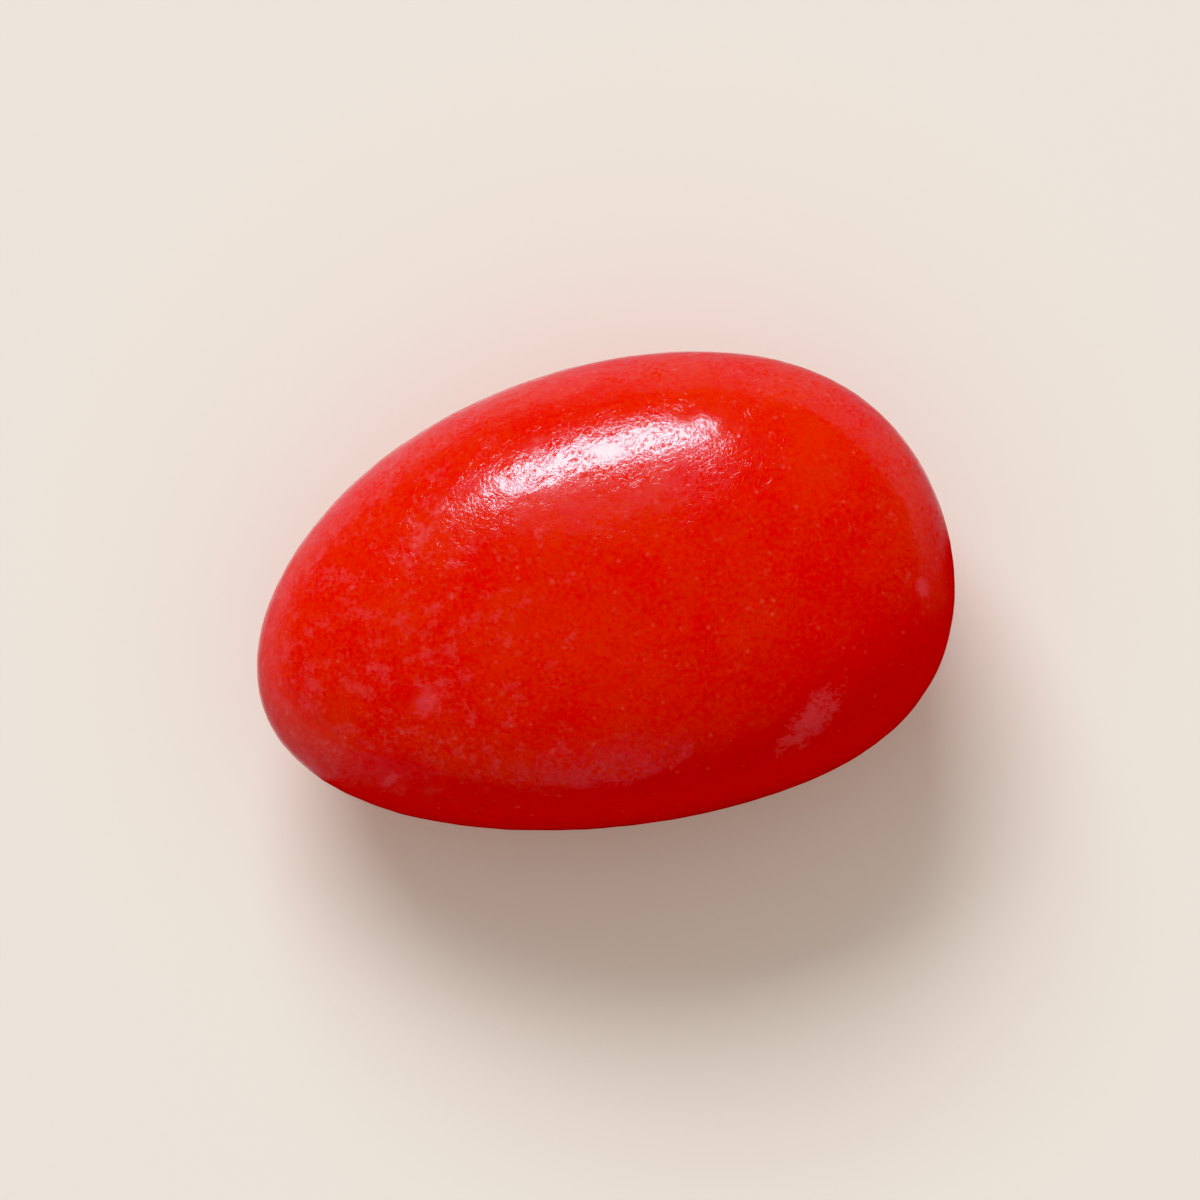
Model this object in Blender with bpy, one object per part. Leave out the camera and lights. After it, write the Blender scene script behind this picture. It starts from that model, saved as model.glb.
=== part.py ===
"""A sugared almond: one almond kernel in a thick, hard, red sugar shell, as one solid.

Metres, +Z up. The almond lies on its broad underside. +X runs along it to the broad end, the narrow end
points to -X, and the side that bows out lies on +Y. The origin is on the surface that it stands on, below
the middle of its outline.
"""

import bmesh
import bpy
import numpy as np

MM = 0.001

# Outline, seen from above
HALF_LENGTH = 14.95 * MM
HALF_WIDTH = 9.77 * MM  # at mid length
WIDTH_SLOPE = 0.118  # share of the half width gained towards the broad end
WIDTH_FULLNESS = 0.082  # share gained at both ends, which blunts them
WIDTH_SHOULDER = 0.082  # share gained close to the broad end and lost close to the narrow one
BOW = 0.68 * MM  # how far the middle stands to +Y of the ends
BOW_SLOPE = -0.11 * MM  # how the bow leans towards the narrow end

# Side view
TOP_RISE = 6.95 * MM  # from the widest level up to the crown
UNDERSIDE_DROP = 6.25 * MM  # from the widest level down to the belly
THICKNESS_SLOPE = 0.145  # share of the thickness gained towards the broad end
THICKNESS_FULLNESS = 0.12  # share gained at both ends
SECTION_FULLNESS = 0.055  # how far the shoulders of a cross-section stand out of an ellipse
TIP_LIFT = 0.35 * MM  # how far both ends curve up
LEAN = 0.40 * MM  # how far the broad end lies above the middle, and the narrow one below it

# Small flat that it rests on
REST_DEPTH = 0.14 * MM
SNAP = 0.03 * MM  # points this near the cut move onto it

# Low swells that the tumbling sugar leaves
SWELL_SEED = 11
SWELL_COUNT = 26
SWELL_HEIGHT = 0.10 * MM
SWELL_REACH = (0.22, 0.55)  # radius of a swell as an angle seen from the centre, in radians

SHELL_SUBDIVISIONS = 5

# Finish
SHELL_RED = (0.70, 0.012, 0.004, 1.0)
SHELL_ROUGHNESS = 0.28
SHELL_METALLIC = 0.0


def clear_scene():
    for obj in list(bpy.data.objects):
        bpy.data.objects.remove(obj)


def swell_heights(direction):
    """Height of the swells at unit directions: a sum of soft round bumps, half of them hollows."""
    rng = np.random.default_rng(SWELL_SEED)
    centres = rng.normal(size=(SWELL_COUNT, 3))
    centres /= np.linalg.norm(centres, axis=1, keepdims=True)
    reach = rng.uniform(*SWELL_REACH, SWELL_COUNT)
    height = rng.uniform(-SWELL_HEIGHT, SWELL_HEIGHT, SWELL_COUNT)
    away = 1 - direction @ centres.T
    return np.exp(-2 * away / reach**2) @ height


def almond_points(direction):
    """Unit directions to points of the shell, about the middle of its widest level.

    Each direction's x says how far along the almond it lies. A cross-section there is an ellipse with
    full shoulders, whose width and thickness follow cubic and square profiles along the length.
    """
    along, across, up = direction.T
    width = 1 + WIDTH_SLOPE * along + WIDTH_FULLNESS * along**2 + WIDTH_SHOULDER * along**3
    thickness = 1 + THICKNESS_SLOPE * along + THICKNESS_FULLNESS * along**2
    inside = 1 - along**2  # 1 in the middle and 0 at both ends
    shoulder = 1 + SECTION_FULLNESS * 4 * across**2 * up**2
    rise = np.where(up > 0, TOP_RISE, UNDERSIDE_DROP)
    points = np.stack(
        [
            HALF_LENGTH * along,
            HALF_WIDTH * width * across * shoulder + (BOW + BOW_SLOPE * along) * inside,
            rise * thickness * up * shoulder - TIP_LIFT * inside + LEAN * along,
        ],
        axis=1,
    )
    outward = direction / (HALF_LENGTH, HALF_WIDTH, TOP_RISE)
    outward /= np.linalg.norm(outward, axis=1, keepdims=True)
    return points + outward * swell_heights(direction)[:, None]


def cut_rest_flat(shell):
    """Takes the lowest sliver off the belly and closes it with one flat face."""
    level = min(vert.co.z for vert in shell.verts) + REST_DEPTH
    cut = bmesh.ops.bisect_plane(
        shell,
        geom=shell.verts[:] + shell.edges[:] + shell.faces[:],
        dist=SNAP,
        plane_co=(0, 0, level),
        plane_no=(0, 0, 1),
        clear_inner=True,
    )
    rim = [item for item in cut["geom_cut"] if isinstance(item, bmesh.types.BMEdge)]
    bmesh.ops.contextual_create(shell, geom=rim)
    for vert in {vert for edge in rim for vert in edge.verts}:
        vert.co.z = level


def stand_on_origin(shell):
    """Moves the shell so that its box is centred on the Z axis and its flat lies at zero."""
    corners = np.array([vert.co for vert in shell.verts])
    low, high = corners.min(axis=0), corners.max(axis=0)
    offset = (-(low[0] + high[0]) / 2, -(low[1] + high[1]) / 2, -low[2])
    bmesh.ops.translate(shell, verts=shell.verts, vec=offset)


def sugar_material():
    material = bpy.data.materials.new("red_sugar")
    material.use_nodes = True
    shader = material.node_tree.nodes["Principled BSDF"]
    shader.inputs["Base Color"].default_value = SHELL_RED
    shader.inputs["Roughness"].default_value = SHELL_ROUGHNESS
    shader.inputs["Metallic"].default_value = SHELL_METALLIC
    return material


def build_almond(collection):
    shell = bmesh.new()
    bmesh.ops.create_icosphere(shell, subdivisions=SHELL_SUBDIVISIONS, radius=1)
    directions = np.array([vert.co.normalized() for vert in shell.verts])
    for vert, point in zip(shell.verts, almond_points(directions)):
        vert.co = point
    cut_rest_flat(shell)
    stand_on_origin(shell)
    bmesh.ops.recalc_face_normals(shell, faces=shell.faces)

    mesh = bpy.data.meshes.new("sugared_almond")
    shell.to_mesh(mesh)
    shell.free()
    mesh.shade_smooth()
    mesh.materials.append(sugar_material())
    almond = bpy.data.objects.new("sugared_almond", mesh)
    collection.objects.link(almond)


clear_scene()
sweets = bpy.data.collections.new("sugared_almond")
bpy.context.scene.collection.children.link(sweets)
build_almond(sweets)
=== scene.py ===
"""The looks of one red sugared almond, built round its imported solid. Metres, +Z up."""

import math

import bpy
import numpy as np
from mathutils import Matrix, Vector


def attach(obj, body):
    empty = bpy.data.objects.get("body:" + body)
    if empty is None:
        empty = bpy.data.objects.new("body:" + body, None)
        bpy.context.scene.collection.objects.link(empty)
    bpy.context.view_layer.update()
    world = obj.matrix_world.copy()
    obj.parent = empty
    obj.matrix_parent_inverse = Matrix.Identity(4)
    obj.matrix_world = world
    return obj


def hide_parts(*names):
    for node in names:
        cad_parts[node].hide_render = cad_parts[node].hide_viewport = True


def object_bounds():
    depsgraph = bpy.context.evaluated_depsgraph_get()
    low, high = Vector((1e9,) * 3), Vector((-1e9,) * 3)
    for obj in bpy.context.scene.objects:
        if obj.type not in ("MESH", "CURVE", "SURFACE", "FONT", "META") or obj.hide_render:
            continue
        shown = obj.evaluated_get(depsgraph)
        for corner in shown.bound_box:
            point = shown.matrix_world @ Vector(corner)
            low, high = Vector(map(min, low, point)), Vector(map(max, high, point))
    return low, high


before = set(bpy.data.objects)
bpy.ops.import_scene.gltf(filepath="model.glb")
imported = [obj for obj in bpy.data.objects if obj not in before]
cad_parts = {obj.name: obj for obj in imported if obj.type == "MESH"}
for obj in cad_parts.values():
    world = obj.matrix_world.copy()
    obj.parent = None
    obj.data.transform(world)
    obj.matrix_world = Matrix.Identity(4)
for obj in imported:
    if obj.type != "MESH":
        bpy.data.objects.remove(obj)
solid_low, solid_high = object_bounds()


# ---------------------------------------------------------------------------------------------------------
# Sugar shell, its form
# An almond kernel tumbled in a drum under syrup until it carries a hard shell of dyed sugar 2 to 4 mm
# thick. The shell keeps the kernel's egg-shaped outline, blunts its ends, and is one unbroken surface.
# ---------------------------------------------------------------------------------------------------------
MM = 0.001
HALF_LENGTH = 14.95 * MM
HALF_WIDTH = 9.77 * MM  # at mid length
WIDTH_SLOPE = 0.118  # share of the half width gained towards the broad end
WIDTH_FULLNESS = 0.082  # share gained at both ends, which blunts them
WIDTH_SHOULDER = 0.082  # share gained close to the broad end and lost close to the narrow one
BOW = 0.68 * MM  # how far the middle stands to +Y of the ends
BOW_SLOPE = -0.11 * MM  # how the bow leans towards the narrow end
TOP_RISE = 6.95 * MM  # from the widest level up to the crown
UNDERSIDE_DROP = 6.25 * MM  # from the widest level down to the belly
THICKNESS_SLOPE = 0.145  # share of the thickness gained towards the broad end
THICKNESS_FULLNESS = 0.12  # share gained at both ends
SECTION_FULLNESS = 0.055  # how far the shoulders of a cross-section stand out of an ellipse
TIP_LIFT = 0.35 * MM  # how far both ends curve up
LEAN = 0.40 * MM  # how far the broad end lies above the middle, and the narrow one below it
SHELL_STEPS = 128  # squares along a side of each of the grid's six faces
SAME_DIGITS = 7  # two directions that agree to this many decimal places are one


def ball_grid(steps):
    """Unit directions over a ball, with the squares between them, from six grids of two angles each.

    On each face of a cube both angles run evenly from -45 to 45 degrees. A direction is the face's own axis
    plus the tangents of the two angles along the face, brought to length one. Rows that two faces share
    are merged, so that the ball is closed. Adding zero there makes -0 and 0 the same.
    """
    angles = np.linspace(-math.pi / 4, math.pi / 4, steps + 1)
    p, q = np.tan(np.meshgrid(angles, angles, indexing="ij"))
    one = np.ones_like(p)
    faces = [(one, p, q), (-one, q, p), (q, one, p), (p, -one, q), (p, q, one), (q, p, -one)]
    directions = np.concatenate([np.stack(face, axis=-1).reshape(-1, 3) for face in faces])
    directions /= np.linalg.norm(directions, axis=1, keepdims=True)

    first = np.arange((steps + 1) ** 2).reshape(steps + 1, steps + 1)
    corners = [first[:-1, :-1], first[1:, :-1], first[1:, 1:], first[:-1, 1:]]
    square = np.stack(corners, axis=-1).reshape(-1, 4)
    squares = np.concatenate([square + face * first.size for face in range(len(faces))])

    rounded = np.round(directions, SAME_DIGITS) + 0.0
    _, kept, merged = np.unique(rounded, axis=0, return_index=True, return_inverse=True)
    return directions[kept], merged.reshape(-1)[squares]


def almond_form(direction):
    """Points of the almond at unit directions.

    The direction's x says how far along the almond the point lies. The cross-section there is an ellipse
    with full shoulders, whose width follows a cubic and whose thickness a square along the length, and
    whose middle bows sideways and dips between the two ends.
    """
    along, across, up = direction.T
    width = 1 + WIDTH_SLOPE * along + WIDTH_FULLNESS * along**2 + WIDTH_SHOULDER * along**3
    thickness = 1 + THICKNESS_SLOPE * along + THICKNESS_FULLNESS * along**2
    inside = 1 - along**2  # 1 in the middle and 0 at both ends
    shoulder = 1 + SECTION_FULLNESS * 4 * across**2 * up**2  # fullest where across and up are alike
    rise = np.where(up > 0, TOP_RISE, UNDERSIDE_DROP)
    return np.stack(
        [
            HALF_LENGTH * along,
            HALF_WIDTH * width * across * shoulder + (BOW + BOW_SLOPE * along) * inside,
            rise * thickness * up * shoulder - TIP_LIFT * inside + LEAN * along,
        ],
        axis=1,
    )


def outward_of(direction):
    """Directions square to an ellipsoid of the almond's size: the unit direction over its half sizes."""
    outward = direction / (HALF_LENGTH, HALF_WIDTH, TOP_RISE)
    return outward / np.linalg.norm(outward, axis=1, keepdims=True)


# ---------------------------------------------------------------------------------------------------------
# Sugar shell, its relief
# The last syrup coats dry unevenly: low swells a few millimetres wide, dimples and a soft pebbling between
# them, and pits where crystals stand apart. The mesh has all of it from half a millimetre across upwards.
# ---------------------------------------------------------------------------------------------------------
SWELL_SEED = 11
SWELL_COUNT = 26
SWELL_HEIGHT = 0.10 * MM
SWELL_REACH = (0.22, 0.55)  # radius of a swell as an angle seen from the centre, in radians
WAVE_COUNT = 48
WAVE_SPREAD = (0.75, 1.33)  # the shortest and the longest wave, as shares of the length asked for
DIMPLE_LENGTH, DIMPLE_HEIGHT, DIMPLE_SEED = 2.4 * MM, 0.0050 * MM, 3
PEBBLE_LENGTH, PEBBLE_HEIGHT, PEBBLE_SEED = 0.90 * MM, 0.0032 * MM, 4
PIT_LENGTH, PIT_DEPTH, PIT_SEED = 0.50 * MM, 0.010 * MM, 5
PIT_EDGE = (1.2, 2.4)  # where a pit starts and where it is full depth, in spreads of its field


def swell_heights(direction):
    """Height of the swells at unit directions: a sum of soft round bumps, half of them hollows."""
    rng = np.random.default_rng(SWELL_SEED)
    centres = rng.normal(size=(SWELL_COUNT, 3))
    centres /= np.linalg.norm(centres, axis=1, keepdims=True)
    reach = rng.uniform(*SWELL_REACH, SWELL_COUNT)
    height = rng.uniform(-SWELL_HEIGHT, SWELL_HEIGHT, SWELL_COUNT)
    away = 1 - direction @ centres.T
    return np.exp(-2 * away / reach**2) @ height


def ripple(points, length, seed):
    """An uneven field of mean 0 and spread 1 at points: a sum of plane waves.

    Each wave has a seeded heading and phase, and a length within a third of the one given.
    """
    rng = np.random.default_rng(seed)
    heading = rng.normal(size=(WAVE_COUNT, 3))
    heading /= np.linalg.norm(heading, axis=1, keepdims=True)
    lengths = length * rng.uniform(*WAVE_SPREAD, WAVE_COUNT)
    phase = rng.uniform(0, 2 * math.pi, WAVE_COUNT)
    turns = points @ (heading * (2 * math.pi / lengths)[:, None]).T + phase
    return np.cos(turns).sum(axis=1) * math.sqrt(2 / WAVE_COUNT)


def relief_heights(points):
    """Height of the fine relief at points: dimples plus pebbling, less pits where a field runs high."""
    dimples = DIMPLE_HEIGHT * ripple(points, DIMPLE_LENGTH, DIMPLE_SEED)
    pebbling = PEBBLE_HEIGHT * ripple(points, PEBBLE_LENGTH, PEBBLE_SEED)
    start, full = PIT_EDGE
    depth = np.clip((ripple(points, PIT_LENGTH, PIT_SEED) - start) / (full - start), 0, 1)
    return dimples + pebbling - PIT_DEPTH * depth


directions, squares = ball_grid(SHELL_STEPS)
points = almond_form(directions)
points += outward_of(directions) * swell_heights(directions)[:, None]

# Onto the solid: centred on it as seen from above, and level with its top
solid_middle = np.array((solid_low + solid_high) / 2)
points[:, :2] += solid_middle[:2] - (points[:, :2].min(axis=0) + points[:, :2].max(axis=0)) / 2
points[:, 2] += solid_high.z - points[:, 2].max()
points += outward_of(directions) * relief_heights(points)[:, None]
points[:, 2] = np.maximum(points[:, 2], solid_low.z)  # the small flat that it rests on

shell_mesh = bpy.data.meshes.new("sugar_shell")
shell_mesh.from_pydata(points.tolist(), [], squares.tolist())
shell_mesh.shade_smooth()
shell = bpy.data.objects.new("sugar_shell", shell_mesh)
bpy.context.scene.collection.objects.link(shell)
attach(shell, "root")
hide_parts("sugared_almond")


# ---------------------------------------------------------------------------------------------------------
# Sugar shell, its finish
# Red dye sits unevenly in the sugar: deep red with fine orange grains, pale specks where a crystal shows
# through, and faint pink bloom. A thin wax polish lies over it all, but not in its own cracks and pores.
# ---------------------------------------------------------------------------------------------------------
# Towards -Y the colour holds painted shade: less orange, and nearly all deep red along the rim there.
DEEP_RED = (0.71, 0.0025, 0.0001, 1)
GRAIN_ORANGE = (0.70, 0.0190, 0.0003, 1)
BLOOM_PINK = (0.76, 0.065, 0.076, 1)
SPECK_PINK = (0.85, 0.23, 0.16, 1)

# A scale is how many spots of a pattern fit in a millimetre. An edge is where something starts to show, and
# where it shows in full. Lengths are in millimetres.

# The dye
GRAIN_SCALE = 5.0
CLUMP_SCALE = 1.3
BLOTCH_SCALE = 0.35
GRAIN_SHARE, BLOTCH_SHARE = 0.6, 0.4  # of the field that says where the dye is orange
PAINTED_SHADE_SIDE_LOSS = 0.10  # painted shade: what the -Y side, where the sweet lies in shade, takes off that field
PAINTED_SHADE_SIDE_SLANT = 0.3  # how much nearer it comes with each millimetre towards the broad end
PAINTED_SHADE_SIDE_EDGE = (2.0, 9.0)
ORANGE_EDGE = (0.33, 0.66)
OUTLINE_LENGTH, OUTLINE_WIDTH = 14.9, 9.8  # half sizes of an ellipse round the almond, seen from above
PAINTED_SHADE_RIM_REACH = (0.745, 0.795)  # painted shade: the colour turns nearly all deep red along the rim on the -Y side, from this share of the way out
PAINTED_SHADE_RIM_WANDER = 0.14  # how far the clumps make that border wander
PAINTED_SHADE_RIM_SIDE = (3.3, 4.6)  # towards -Y
PAINTED_SHADE_RIM_LEVEL = (3.8, 6.4)  # above the floor
PAINTED_SHADE_RIM_ORANGE_LOSS = 0.9  # of the orange, under that painted shade

# Bloom, specks and scuffs
NARROW_END = (-8.9, 2.2)  # along X: the narrow end in full, and where it stops
BLOOM_GRAIN, BLOOM_NARROW_END = 0.4, 0.14  # what the grains and the narrow end add to the clumps
BLOOM_EDGE = (0.80, 1.08)
BLOOM_STRENGTH, BLOOM_PAINTED_SHADE_LOSS = 0.29, 0.22  # all over, and less by that under the painted shade along the -Y rim
SPECK_SCALE = 1.6
SPECK_EDGE = (0.03, 0.24)  # from the middle of a speck, in shares of the way from one to the next
SPECK_CLUMPS = (0.40, 0.60)  # the clumps that hold specks
# The specks are fainter under the painted shade along the -Y rim.
SPECK_STRENGTH, SPECK_PAINTED_SHADE_LOSS = 0.16, 0.04
SCUFFS = (  # place from above, half sizes and turn, in millimetres and radians
    ((7.3, -6.9), (1.65, 0.60), 0.6),
    ((-8.0, -2.4), (0.60, 0.45), 0.5),
    ((-10.3, -5.2), (0.42, 0.22), 0.3),
    ((13.2, -2.7), (0.28, 0.42), 0.0),
)
SCUFF_EDGE = (0.3, 1.3)  # from its middle outwards, in shares of its half sizes
SCUFF_CLUMPS, SCUFF_GRAINS = 2.0, 3.0  # how far both make a scuff's edge wander
SCUFF_STRENGTH, SCUFF_GRAIN_GAIN = 0.2, 0.6

# The polish
POLISH_ROUGHNESS = 0.13
BLOOM_ROUGHNESS = 0.08  # what the bloom adds to it
POLISH_IOR = 1.70
CRACKLE_SCALE = 6.5
CRACKLE_HEIGHT, ROUGH_CRACKLE_HEIGHT = 0.0055, 0.004  # everywhere, and what the rough zones add
ROUGH_SCALE = 0.6
ROUGH_EDGE = (0.36, 0.56)
CRACK_SCALE = 1.8
CRACK_WIDTH = 0.06  # how far from its middle value the crack noise still makes one
CRACK_DEPTH = 0.003
PORE_SCALE = 3.6
PORE_EDGE = (0.25, 0.50)  # from the middle of a pore, in shares of the way from one to the next
PORE_GRAINS = (0.36, 0.52)  # the grains that have pores
PORE_DEPTH = 0.002

# The sugar that shows where there is no wax, and the light that comes back from inside the sugar
BARE_ROUGHNESS = 0.70
BARE_PORES, BARE_CRACKS = 0.70, 0.32  # how bare the pores and cracks are, at most
BARE_SMOOTH = 0.45  # what is left of that outside the rough zones
BARE_FLANK = 0.3  # and what is left of that below the crown
CROWN_EDGE = (6.5, 9.5)  # height above the floor
BARE_GAPS = 0.12  # how bare the gaps between the clumps are
GAPS_EDGE = (0.40, 0.56)
SUGAR_GLOW = 0.10
SUGAR_GLOW_DEPTH = 0.6
SUGAR_GLOW_REACH = (1.0, 0.12, 0.06)  # how much of that depth red, green and blue light get through


class Tap:
    """One output of a shader node. Sums, differences and products of taps add Math nodes to its tree."""

    def __init__(self, tree, socket):
        self.tree = tree
        self.socket = socket

    def node(self, kind, settings=None, sockets=None, out=0):
        """Adds a node of that type, sets its settings, then fills or links its sockets."""
        made = self.tree.nodes.new(kind)
        for name, value in (settings or {}).items():
            setattr(made, name, value)
        for name, value in (sockets or {}).items():
            if isinstance(value, Tap):
                self.tree.links.new(value.socket, made.inputs[name])
            else:
                made.inputs[name].default_value = value
        return Tap(self.tree, made.outputs[out])

    def feed(self, socket):
        """Links this output to a socket of a node that is there already."""
        self.tree.links.new(self.socket, socket)

    def math(self, operation, *values):
        return self.node("ShaderNodeMath", {"operation": operation}, dict(enumerate(values)))

    def __add__(self, other):
        return self.math("ADD", self, other)

    def __sub__(self, other):
        return self.math("SUBTRACT", self, other)

    def __rsub__(self, other):
        return self.math("SUBTRACT", other, self)

    def __mul__(self, other):
        return self.math("MULTIPLY", self, other)

    def __pow__(self, other):
        return self.math("POWER", self, other)

    def __abs__(self):
        return self.math("ABSOLUTE", self)

    __radd__ = __add__
    __rmul__ = __mul__

    def step(self, low, high):
        """0 up to low, 1 from high, and smooth between them."""
        sockets = {"Value": self, "From Min": low, "From Max": high}
        return self.node("ShaderNodeMapRange", {"interpolation_type": "SMOOTHSTEP"}, sockets)

    def blend(self, under, over):
        """The colour under where this is 0, the colour over where it is 1, and a mix between."""
        return self.node("ShaderNodeMix", {"data_type": "RGBA"}, {0: self, 6: under, 7: over}, out=2)

    def noise(self, scale, detail=2.0, roughness=0.5, distortion=0.0):
        """Noise of about 1 / scale across, on these coordinates."""
        sockets = {
            "Vector": self,
            "Scale": scale,
            "Detail": detail,
            "Roughness": roughness,
            "Distortion": distortion,
        }
        return self.node("ShaderNodeTexNoise", None, sockets)

    def cells(self, scale):
        """Distance to the nearest of scattered points that stand about 1 / scale apart."""
        return self.node("ShaderNodeTexVoronoi", None, {"Vector": self, "Scale": scale})

    def parts(self):
        """The x, y and z of this vector."""
        split = self.node("ShaderNodeSeparateXYZ", None, {"Vector": self}).socket.node
        return [Tap(self.tree, output) for output in split.outputs]


def new_material(name):
    """An empty material with its Principled shader, and a tap on its Object coordinates."""
    material = bpy.data.materials.new(name)
    material.use_nodes = True
    tree = material.node_tree
    coordinates = tree.nodes.new("ShaderNodeTexCoord")
    return material, tree.nodes["Principled BSDF"], Tap(tree, coordinates.outputs["Object"])


def scuff_mask(x, y, wander):
    """1 on the scuffs and 0 off them: ellipses seen from above, whose edge wanders."""
    total = 0.0
    for place, size, turn in SCUFFS:
        cosine, sine = math.cos(turn), math.sin(turn)
        along = ((x - place[0]) * cosine + (y - place[1]) * sine) * (1 / size[0])
        across = ((y - place[1]) * cosine - (x - place[0]) * sine) * (1 / size[1])
        reach = (along * along + across * across) ** 0.5 + wander
        total = total + (1 - reach.step(*SCUFF_EDGE))
    return total


def ellipse_reach(x, y, half_length, half_width):
    """How far out a place lies: 0 in the middle and 1 on an ellipse of those half sizes, seen from above."""
    return ((x * (1 / half_length)) ** 2 + (y * (1 / half_width)) ** 2) ** 0.5


def dye(mm, grains, clumps):
    """The colour of the sugar, and the bloom on it.

    Orange grains lie in deep red, and bloom, scuffs and specks lie over them. Towards -Y the colour has
    painted shade: less orange all along that side, and nearly all deep red, under thin bloom, along its rim.
    """
    x, y, z = mm.parts()
    blotches = mm.noise(BLOTCH_SCALE, detail=2.0, roughness=0.5)
    # Painted shade: less orange towards -Y, more so towards the broad end.
    painted_shade_side = (x * PAINTED_SHADE_SIDE_SLANT - y).step(*PAINTED_SHADE_SIDE_EDGE)
    orange = (grains * GRAIN_SHARE + blotches * BLOTCH_SHARE - painted_shade_side * PAINTED_SHADE_SIDE_LOSS).step(*ORANGE_EDGE)

    # The mask below is painted shade along the rim on the -Y side: it takes out nearly all orange and thins
    # the bloom and specks.
    reach = ellipse_reach(x, y, OUTLINE_LENGTH, OUTLINE_WIDTH) + (clumps - 0.5) * PAINTED_SHADE_RIM_WANDER
    even = reach.step(*PAINTED_SHADE_RIM_REACH) * (0 - y).step(*PAINTED_SHADE_RIM_SIDE) * z.step(*PAINTED_SHADE_RIM_LEVEL)
    colour = (orange * (1 - PAINTED_SHADE_RIM_ORANGE_LOSS * even)).blend(DEEP_RED, GRAIN_ORANGE)

    narrow_end = 1 - x.step(*NARROW_END)
    bloom = (clumps + grains * BLOOM_GRAIN + narrow_end * BLOOM_NARROW_END).step(*BLOOM_EDGE)
    colour = (bloom * (BLOOM_STRENGTH - BLOOM_PAINTED_SHADE_LOSS * even)).blend(colour, BLOOM_PINK)

    scuffs = scuff_mask(x, y, (clumps - 0.5) * SCUFF_CLUMPS + (grains - 0.5) * SCUFF_GRAINS)
    colour = (scuffs * (SCUFF_STRENGTH + SCUFF_GRAIN_GAIN * grains)).blend(colour, BLOOM_PINK)

    specks = (1 - mm.cells(SPECK_SCALE).step(*SPECK_EDGE)) * clumps.step(*SPECK_CLUMPS)
    colour = (specks * (SPECK_STRENGTH - SPECK_PAINTED_SHADE_LOSS * even)).blend(colour, SPECK_PINK)
    return colour, bloom


def polish_flaws(mm, grains):
    """The rough zones of the polish, its cracks and its pores.

    A crack runs where a noise is close to its middle value. A pore lies round a scattered point, where the
    grains run high.
    """
    rough = mm.noise(ROUGH_SCALE, detail=1.0).step(*ROUGH_EDGE)
    crack_noise = mm.noise(CRACK_SCALE, detail=2.0, roughness=0.6, distortion=1.2)
    cracks = 1 - abs(crack_noise - 0.5).step(0.0, CRACK_WIDTH)
    pores = (1 - mm.cells(PORE_SCALE).step(*PORE_EDGE)) * grains.step(*PORE_GRAINS)
    return rough, cracks, pores


def polish_height(mm, rough, cracks, pores):
    """A fine crackle all over, stronger in the rough zones, less the cracks and pores of those zones."""
    crackle = mm.noise(CRACKLE_SCALE, detail=1.0, roughness=0.5, distortion=0.5)
    height = crackle * (CRACKLE_HEIGHT + ROUGH_CRACKLE_HEIGHT * rough)
    return height - (PORE_DEPTH * pores + CRACK_DEPTH * cracks) * rough


def bare_share(mm, clumps, rough, cracks, pores):
    """How bare of wax a place is: pores and cracks most, and the gaps between the clumps a little."""
    _, _, up = mm.parts()
    share = BARE_PORES * pores + BARE_CRACKS * cracks
    share = share * (BARE_SMOOTH + (1 - BARE_SMOOTH) * rough)
    share = share * (BARE_FLANK + (1 - BARE_FLANK) * up.step(*CROWN_EDGE))
    return share + BARE_GAPS * (1 - clumps.step(*GAPS_EDGE))


def sugar_finish():
    """Dyed sugar under a wax polish, and the same sugar matt, mixed by how bare of wax a place is."""
    material, polished, metres = new_material("red_sugar")
    mm = metres.node("ShaderNodeVectorMath", {"operation": "SCALE"}, {0: metres, "Scale": 1 / MM})
    grains = mm.noise(GRAIN_SCALE, detail=2.0, roughness=0.65, distortion=0.3)
    clumps = mm.noise(CLUMP_SCALE, detail=3.0, roughness=0.65)
    colour, bloom = dye(mm, grains, clumps)
    rough, cracks, pores = polish_flaws(mm, grains)
    height = polish_height(mm, rough, cracks, pores)
    bump = metres.node("ShaderNodeBump", None, {"Strength": 1.0, "Distance": MM, "Height": height})

    colour.feed(polished.inputs["Base Color"])
    (POLISH_ROUGHNESS + BLOOM_ROUGHNESS * bloom).feed(polished.inputs["Roughness"])
    bump.feed(polished.inputs["Normal"])
    polished.inputs["IOR"].default_value = POLISH_IOR
    polished.inputs["Subsurface Weight"].default_value = SUGAR_GLOW
    polished.inputs["Subsurface Radius"].default_value = SUGAR_GLOW_REACH
    polished.inputs["Subsurface Scale"].default_value = SUGAR_GLOW_DEPTH * MM

    matt = {"Base Color": colour, "Roughness": BARE_ROUGHNESS, "Specular IOR Level": 0.0}
    unwaxed = metres.node("ShaderNodeBsdfPrincipled", None, matt)
    waxed = Tap(metres.tree, polished.outputs[0])
    bare = bare_share(mm, clumps, rough, cracks, pores)
    sugar = metres.node("ShaderNodeMixShader", None, {0: bare, 1: waxed, 2: unwaxed})
    sugar.feed(material.node_tree.nodes["Material Output"].inputs["Surface"])
    return material


shell_mesh.materials.append(sugar_finish())


# ---------------------------------------------------------------------------------------------------------
# Floor
# A plain matt cream sweep, far wider than the sweet. Well away from it the floor turns into the even cream
# of the backdrop, so that no horizon shows. The polish mirrors the floor in other colours, as if the sweet
# lay in a pale dish with more red ones in front.
# ---------------------------------------------------------------------------------------------------------
FLOOR_SIZE = 8.0
FLOOR_ROUGHNESS = 0.9
FLOOR_CREAM = (0.880, 0.748, 0.610, 1)
BACKDROP_CREAM = (0.890, 0.768, 0.688, 1)
BACKDROP_EDGE = (0.08, 0.40)  # how far from the sweet the backdrop starts, and where it is full

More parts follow.
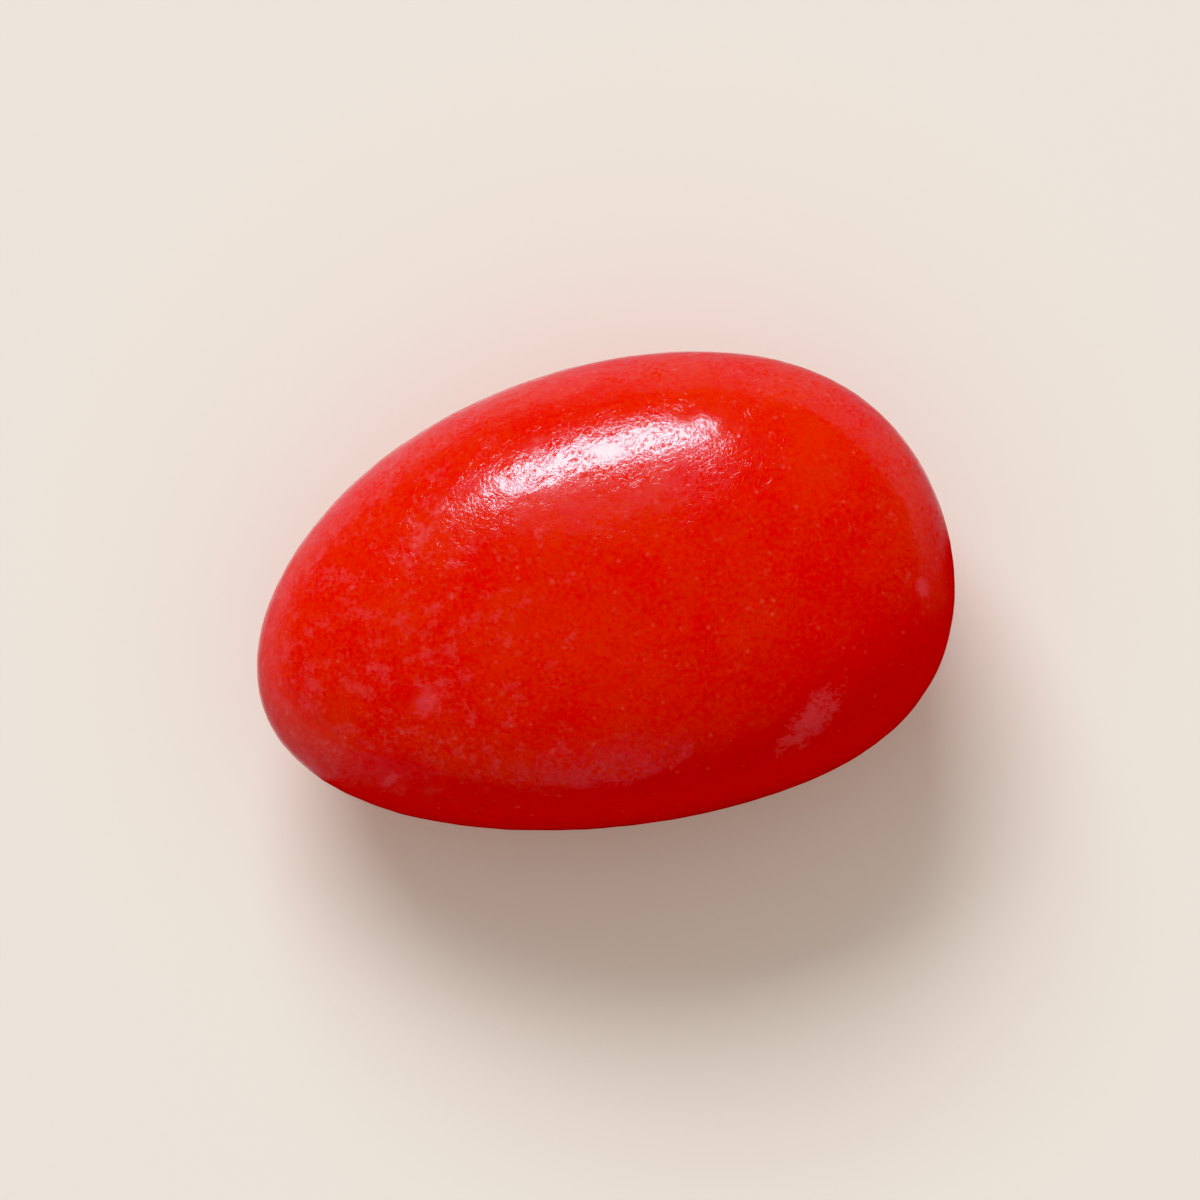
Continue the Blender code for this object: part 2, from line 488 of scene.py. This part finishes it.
# The floor as the polish mirrors it. A side is the cosine of the angle from the way behind the sweet, seen
# from MIRROR_CENTRE: 1 is right behind it and -1 right in front.
FLOOR_MIRRORED_FRONT = (0.27, 0.003, 0.002, 1)
FLOOR_MIRRORED_ENDS = (0.265, 0.245, 0.265, 1)
FLOOR_MIRRORED_BEHIND = (0.42, 0.40, 0.43, 1)
FLOOR_MIRRORED_AFAR = (0.02, 0.02, 0.02, 1)  # what the floor behind darkens to with the distance
MIRROR_CENTRE = (-5.8 * MM, 6.3 * MM)
MIRROR_TURN = math.radians(108)  # the way behind the sweet, from +X
BEHIND_SIDE = (0.1, 0.9)
AFAR_EDGE = (16 * MM, 60 * MM)
AFAR_STRENGTH, AFAR_NARROW_GAIN = 0.55, 0.35  # of the darkening: everywhere behind, and more to -X
AFAR_NARROW_EDGE = (-10 * MM, 20 * MM)  # towards -X
FRONT_SIDE_NEAR = (-0.60, -0.50)  # the front's border is sharp close to the sweet, and soft farther off
FRONT_SIDE_FAR = (-0.80, -0.15)
FRONT_SOFTENS = (17.5 * MM, 36 * MM)
FOOT_EDGE = (1.05, 1.35)  # of the outline's half sizes: where the floor stops being mirrored as cream


def flat_length(x, y):
    """Length of x and y together. For a place that is its distance from the origin, seen from above."""
    return (x * x + y * y) ** 0.5


def floor_in_polish(x, y):
    """The colour that the polish mirrors of the floor at x and y.

    Pale past both ends and paler behind, where it darkens with the distance, cream right round the sweet's
    foot, and deep red in front.
    """
    away = flat_length(x, y)
    side_x, side_y = x - MIRROR_CENTRE[0], y - MIRROR_CENTRE[1]
    side = side_x * math.cos(MIRROR_TURN) + side_y * math.sin(MIRROR_TURN)
    side = side * flat_length(side_x, side_y) ** -1
    behind = side.step(*BEHIND_SIDE)
    pale = behind.blend(FLOOR_MIRRORED_ENDS, FLOOR_MIRRORED_BEHIND)
    narrow = (0 - x).step(*AFAR_NARROW_EDGE)
    afar = behind * away.step(*AFAR_EDGE) * (AFAR_STRENGTH + AFAR_NARROW_GAIN * narrow)
    pale = afar.blend(pale, FLOOR_MIRRORED_AFAR)
    foot = 1 - ellipse_reach(x, y, OUTLINE_LENGTH * MM, OUTLINE_WIDTH * MM).step(*FOOT_EDGE)
    pale = foot.blend(pale, FLOOR_CREAM)
    softness = away.step(*FRONT_SOFTENS)
    not_front = side.step(*FRONT_SIDE_NEAR) * (1 - softness) + side.step(*FRONT_SIDE_FAR) * softness
    return not_front.blend(FLOOR_MIRRORED_FRONT, pale)


def floor_finish():
    """Matt cream, which turns into the backdrop's even light far from the sweet.

    Mirrored rays see floor_in_polish instead, and no backdrop.
    """
    material, shader, metres = new_material("cream_floor")
    x, y, _ = metres.parts()
    glossy_ray = metres.node("ShaderNodeLightPath", out="Is Glossy Ray")
    glossy_ray.blend(FLOOR_CREAM, floor_in_polish(x, y)).feed(shader.inputs["Base Color"])
    shader.inputs["Roughness"].default_value = FLOOR_ROUGHNESS
    shader.inputs["Specular IOR Level"].default_value = 0.0
    far_off = flat_length(x, y).step(*BACKDROP_EDGE) * (1 - glossy_ray)
    cloth = Tap(metres.tree, shader.outputs[0])
    backdrop = metres.node("ShaderNodeEmission", None, {"Color": BACKDROP_CREAM})
    sweep = metres.node("ShaderNodeMixShader", None, {0: far_off, 1: cloth, 2: backdrop})
    sweep.feed(material.node_tree.nodes["Material Output"].inputs["Surface"])
    return material


bpy.ops.mesh.primitive_plane_add(size=FLOOR_SIZE, location=(0, 0, solid_low.z))
floor = bpy.context.object
floor.name = "floor"
floor.data.materials.append(floor_finish())


# ---------------------------------------------------------------------------------------------------------
# Studio
# One wide softbox behind and above the sweet lights it, and two lamps in its place are only mirrored, as
# the long gleam and its brighter core. A soft even fill comes from all round, of which the polish mirrors
# only a glow beside the gleam, a faint band low in front, and a faint patch past the narrow end.
# ---------------------------------------------------------------------------------------------------------
KEY_ELEVATION = math.radians(38.0)
KEY_DISTANCE = 2.5
KEY_COLOUR = (0.91, 0.98, 1.16)
KEY_LAMPS = (  # name, turn from +X, half width and half height in degrees, watts, whether it is mirrored
    ("key_softbox", 94.0, 17.5, 11.8, 59.0, False),
    ("key_gleam", 94.0, 17.5, 11.8, 40.0, True),
    ("key_gleam_core", 93.0, 16.8, 8.4, 46.0, True),  # turned, as lamps in one plane hide each other
)
FILL_COLOUR = (0.530, 0.535, 0.545, 1)

# The fill as the polish mirrors it. A side is the cosine of a ray's angle from a heading. A lower or upper
# edge is how steeply the ray points up, as the sine of its elevation.
MIRRORED_DARK = (0.015, 0.015, 0.015, 1)
MIRRORED_GLOW = (0.40, 0.38, 0.50, 1)
GLOW_ELEVATION, GLOW_TURN = math.radians(53), math.radians(93)
GLOW_SIDE = (0.91, 0.995)
MIRRORED_BAND = (0.19, 0.14, 0.26, 1)
BAND_TURN = math.radians(-105)
BAND_ARCH = 16.0  # how fast the band's lower edge rises to both sides of its turn
BAND_LOWER_EDGE = (0.02, 0.16)
BAND_UPPER_EDGE = (0.35, 0.82)
MIRRORED_PATCH = (0.12, 0.105, 0.17, 1)
PATCH_TURN = math.radians(205)
PATCH_SIDE = (0.80, 0.95)
PATCH_UPPER_EDGE = (0.15, 0.42)

scene = bpy.context.scene
for name, turn, half_width, half_height, watts, mirrored in KEY_LAMPS:
    lamp_data = bpy.data.lights.new(name, "AREA")
    lamp_data.shape = "RECTANGLE"
    lamp_data.size = 2 * KEY_DISTANCE * math.tan(math.radians(half_width))
    lamp_data.size_y = 2 * KEY_DISTANCE * math.tan(math.radians(half_height))
    lamp_data.energy = watts
    lamp_data.color = KEY_COLOUR
    lamp = bpy.data.objects.new(name, lamp_data)
    over_floor = KEY_DISTANCE * math.cos(KEY_ELEVATION)
    lamp.location = (
        over_floor * math.cos(math.radians(turn)),
        over_floor * math.sin(math.radians(turn)),
        KEY_DISTANCE * math.sin(KEY_ELEVATION),
    )
    lamp.rotation_euler = (math.pi / 2 - KEY_ELEVATION, 0, math.radians(turn + 90))
    lamp.visible_camera = False
    lamp.visible_diffuse = not mirrored
    lamp.visible_glossy = mirrored
    scene.collection.objects.link(lamp)

world = bpy.data.worlds.new("studio")
scene.world = world
world.use_nodes = True
world.cycles.sampling_method = "NONE"  # so that each kind of ray sees its own colour
light_path = world.node_tree.nodes.new("ShaderNodeLightPath")
camera_ray = Tap(world.node_tree, light_path.outputs["Is Camera Ray"])
glossy_ray = Tap(world.node_tree, light_path.outputs["Is Glossy Ray"])
heading_x, heading_y, heading_z = camera_ray.node("ShaderNodeTexCoord", out="Generated").parts()


def towards(elevation, turn):
    """Cosine of the angle between a ray's heading and one given by its elevation and turn from +X."""
    flat = math.cos(elevation)
    sideways = heading_x * (flat * math.cos(turn)) + heading_y * (flat * math.sin(turn))
    return sideways + heading_z * math.sin(elevation)


glow = towards(GLOW_ELEVATION, GLOW_TURN).step(*GLOW_SIDE)
turned_off = 1 - towards(0, BAND_TURN) * flat_length(heading_x, heading_y) ** -1
band = (heading_z - BAND_ARCH * turned_off).step(*BAND_LOWER_EDGE) * (1 - heading_z.step(*BAND_UPPER_EDGE))
patch = (1 - heading_z.step(*PATCH_UPPER_EDGE)) * towards(0, PATCH_TURN).step(*PATCH_SIDE)
mirrored_fill = glow.blend(MIRRORED_DARK, MIRRORED_GLOW)
mirrored_fill = band.blend(mirrored_fill, MIRRORED_BAND)
mirrored_fill = patch.blend(mirrored_fill, MIRRORED_PATCH)
studio_light = camera_ray.blend(glossy_ray.blend(FILL_COLOUR, mirrored_fill), BACKDROP_CREAM)
studio_light.feed(world.node_tree.nodes["Background"].inputs["Color"])

# The camera's response to light: straight up to the first point, and easing off from there to white.
RESPONSE_SHOULDER = ((0.76, 0.76), (0.92, 0.85), (1.25, 0.935), (1.60, 0.98))
RESPONSE_WHITE = 2.0
RESPONSE_BLACK = 0.006
ALL_COLOURS = 3  # the curve that bends red, green and blue alike

scene.view_settings.view_transform = "Standard"
scene.view_settings.use_curve_mapping = True
response = scene.view_settings.curve_mapping
response.black_level = (RESPONSE_BLACK,) * 3
response.white_level = (RESPONSE_WHITE,) * 3
combined = response.curves[ALL_COLOURS]
combined.points[-1].location = (1, 1)
for light, shown in RESPONSE_SHOULDER:
    combined.points.new(light / RESPONSE_WHITE, shown)
for point in combined.points[:2]:
    point.handle_type = "VECTOR"
response.update()


# ---------------------------------------------------------------------------------------------------------
# Camera
# It stands straight above the sweet and looks down through a long lens, turned so that the almond's broad
# end points to the right and a little up.
# ---------------------------------------------------------------------------------------------------------
CAMERA_LENS = 200.0
SENSOR_WIDTH = 36.0
VIEW_WIDTH = 50.7 * MM  # what the frame holds from side to side, level with the middle of the almond
ALMOND_TURN = math.radians(13.8)
NEAREST_SEEN = 10 * MM  # anything closer to the camera would be cut away

camera_data = bpy.data.cameras.new("camera")
camera_data.lens = CAMERA_LENS
camera_data.sensor_width = SENSOR_WIDTH
camera_data.clip_start = NEAREST_SEEN
camera = bpy.data.objects.new("camera", camera_data)
camera.location = (0, 0, solid_middle[2] + VIEW_WIDTH * CAMERA_LENS / SENSOR_WIDTH)
camera.rotation_euler = (0, 0, -ALMOND_TURN)
scene.collection.objects.link(camera)
scene.camera = camera
